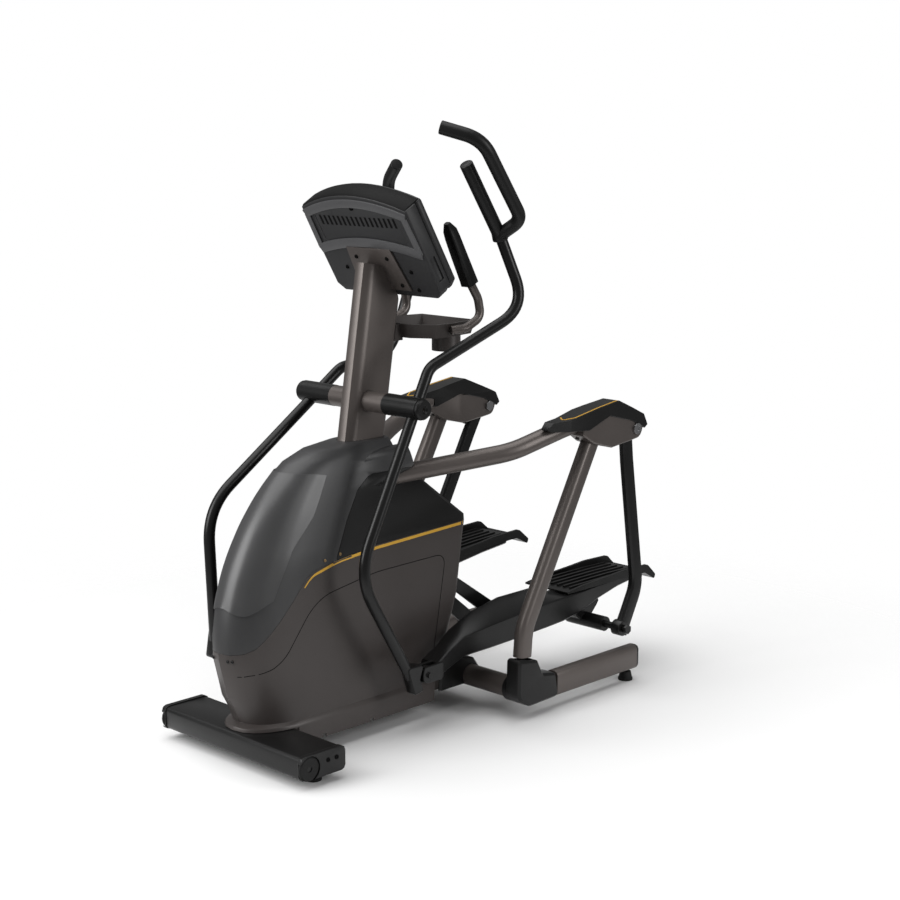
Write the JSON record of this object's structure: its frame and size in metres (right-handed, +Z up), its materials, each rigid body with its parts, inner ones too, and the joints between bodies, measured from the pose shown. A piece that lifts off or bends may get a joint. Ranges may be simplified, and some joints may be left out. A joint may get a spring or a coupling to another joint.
{
  "type": "elliptical trainer",
  "caption": "Suspension elliptical trainer: swinging handlebars drive hanging pedal arms in antiphase, with a front drive housing, mast, console, tray and levelling feet.",
  "frame": {"origin": "Floor level under the middle of the machine's box", "axes": "+Z up, +Y towards the rear, where the user steps on, +X to the user's left"},
  "size_m": [0.7506, 1.6309, 1.7182],
  "materials": {
    "frame_paint": "satin warm grey metallic powder coat",
    "housing_plastic": "satin moulded warm grey",
    "shroud_plastic": "smooth charcoal, semi-gloss",
    "black_plastic": "fine-grained matt black",
    "black_paint": "satin black powder coat",
    "console_plastic": "fine-grained dark grey",
    "screen": "smooth dark window",
    "grip_rubber": "matt black with fine texture",
    "foot_rubber": "matt black",
    "bolt_chrome": "polished",
    "drive_iron": "machined, lightly oiled"
  },
  "bodies": {
    "frame": {"main_spine": "frame_paint", "rear_cross_tube": "frame_paint", "base_tube_left": "frame_paint", "base_tube_right": "frame_paint", "upright_left": "frame_paint", "upright_right": "frame_paint", "boom_bracket_left": "frame_paint", "boom_bracket_right": "frame_paint", "mast": "frame_paint", "pivot_cross_tube": "frame_paint", "fixed_grip_tube_left": "frame_paint", "fixed_grip_tube_right": "frame_paint", "side_cover_left": "housing_plastic", "side_cover_right": "housing_plastic", "accessory_tray": "housing_plastic", "front_shroud": "shroud_plastic", "rear_top_cover": "black_plastic", "rear_low_cover": "black_plastic", "bracket_cover_left": "black_plastic", "bracket_cover_right": "black_plastic", "corner_boss_left": "black_plastic", "corner_boss_right": "black_plastic", "base_cap_left": "black_plastic", "base_cap_right": "black_plastic", "crossbar_cap_left": "black_plastic", "crossbar_cap_right": "black_plastic", "front_crossbar": "black_paint", "console_shell": "console_plastic", "console_face": "console_plastic", "console_screen": "screen", "fixed_grip_left": "grip_rubber", "fixed_grip_right": "grip_rubber", "front_foot_left": "foot_rubber", "front_foot_right": "foot_rubber", "rear_foot_left": "foot_rubber", "rear_foot_right": "foot_rubber", "drive_belt": "foot_rubber", "pivot_bolt_left": "bolt_chrome", "pivot_bolt_right": "bolt_chrome"},
    "handlebar_left": {"hub_sleeve_left": "black_paint", "hub_cap_left": "black_plastic", "handlebar_left": "black_paint", "hand_grips_left": "grip_rubber"},
    "suspension_link_left": {"suspension_link_left": "black_paint"},
    "pedal_arm_left": {"pedal_arm_left": "black_paint", "pedal_tread_left": "black_plastic"},
    "drive_rocker_left": {"drive_rocker_left": "black_paint"},
    "transport_wheel_left": {"transport_wheel_left": "foot_rubber"},
    "handlebar_right": {"hub_sleeve_right": "black_paint", "hub_cap_right": "black_plastic", "handlebar_right": "black_paint", "hand_grips_right": "grip_rubber"},
    "suspension_link_right": {"suspension_link_right": "black_paint"},
    "pedal_arm_right": {"pedal_arm_right": "black_paint", "pedal_tread_right": "black_plastic"},
    "drive_rocker_right": {"drive_rocker_right": "black_paint"},
    "transport_wheel_right": {"transport_wheel_right": "foot_rubber"},
    "crank_pulley": {"crank_pulley": "drive_iron"},
    "flywheel": {"flywheel": "drive_iron"},
    "start_key": {"start_key": "grip_rubber"}
  },
  "joints": [
    {"name": "handlebar_pivot_left", "type": "hinge", "parent": "frame", "child": "handlebar_left", "pos_m": [0.175, -0.2884, 0.945], "axis": [1, 0, 0], "range_deg": [-28.5, 0]},
    {"name": "link_pivot_left", "type": "hinge", "parent": "frame", "child": "suspension_link_left", "pos_m": [0.304, 0.5126, 0.805], "axis": [1, 0, 0], "range_deg": [-36, 0]},
    {"name": "pedal_arm_pivot_left", "type": "hinge", "parent": "suspension_link_left", "child": "pedal_arm_left", "pos_m": [0.304, 0.5016, 0.177], "axis": [1, 0, 0], "range_deg": [0, 39.6]},
    {"name": "drive_rocker_pivot_left", "type": "hinge", "parent": "frame", "child": "drive_rocker_left", "pos_m": [0.07, -0.0354, 0.4], "axis": [1, 0, 0], "range_deg": [-5.1, 0]},
    {"name": "transport_wheel_spin_left", "type": "hinge", "parent": "frame", "child": "transport_wheel_left", "pos_m": [0.294, -0.7584, 0.058], "axis": [1, 0, 0], "continuous": true},
    {"name": "handlebar_pivot_right", "type": "hinge", "parent": "frame", "child": "handlebar_right", "pos_m": [-0.175, -0.2884, 0.945], "axis": [1, 0, 0], "range_deg": [0, 28.5]},
    {"name": "link_pivot_right", "type": "hinge", "parent": "frame", "child": "suspension_link_right", "pos_m": [-0.304, 0.5126, 0.805], "axis": [1, 0, 0], "range_deg": [0, 36]},
    {"name": "pedal_arm_pivot_right", "type": "hinge", "parent": "suspension_link_right", "child": "pedal_arm_right", "pos_m": [-0.304, 0.13536, 0.30281], "axis": [1, 0, 0], "range_deg": [-39.6, 0]},
    {"name": "drive_rocker_pivot_right", "type": "hinge", "parent": "frame", "child": "drive_rocker_right", "pos_m": [-0.07, -0.0354, 0.4], "axis": [1, 0, 0], "range_deg": [0, 5.1]},
    {"name": "transport_wheel_spin_right", "type": "hinge", "parent": "frame", "child": "transport_wheel_right", "pos_m": [-0.294, -0.7584, 0.058], "axis": [1, 0, 0], "continuous": true},
    {"name": "flywheel_spin", "type": "hinge", "parent": "frame", "child": "flywheel", "pos_m": [0, -0.5804, 0.3], "axis": [1, 0, 0], "continuous": true},
    {"name": "crank_spin", "type": "hinge", "parent": "frame", "child": "crank_pulley", "pos_m": [0, -0.2054, 0.3], "axis": [1, 0, 0], "continuous": true},
    {"name": "start_key_press", "type": "slide", "parent": "frame", "child": "start_key", "axis": [0, -0.8581, -0.5135], "range_m": [0, 0.002], "stiffness_N_per_m": 600}
  ],
  "couplings": [
    {"joint": "link_pivot_left", "follows": "handlebar_pivot_left", "ratio": 1.26},
    {"joint": "pedal_arm_pivot_left", "follows": "handlebar_pivot_left", "ratio": -1.384},
    {"joint": "drive_rocker_pivot_left", "follows": "handlebar_pivot_left", "ratio": 0.175},
    {"joint": "handlebar_pivot_right", "follows": "handlebar_pivot_left", "ratio": -1},
    {"joint": "link_pivot_right", "follows": "handlebar_pivot_left", "ratio": -1.26},
    {"joint": "pedal_arm_pivot_right", "follows": "handlebar_pivot_left", "ratio": 1.384},
    {"joint": "drive_rocker_pivot_right", "follows": "handlebar_pivot_left", "ratio": -0.175},
    {"joint": "crank_spin", "follows": "flywheel_spin", "ratio": 0.20339}
  ]
}
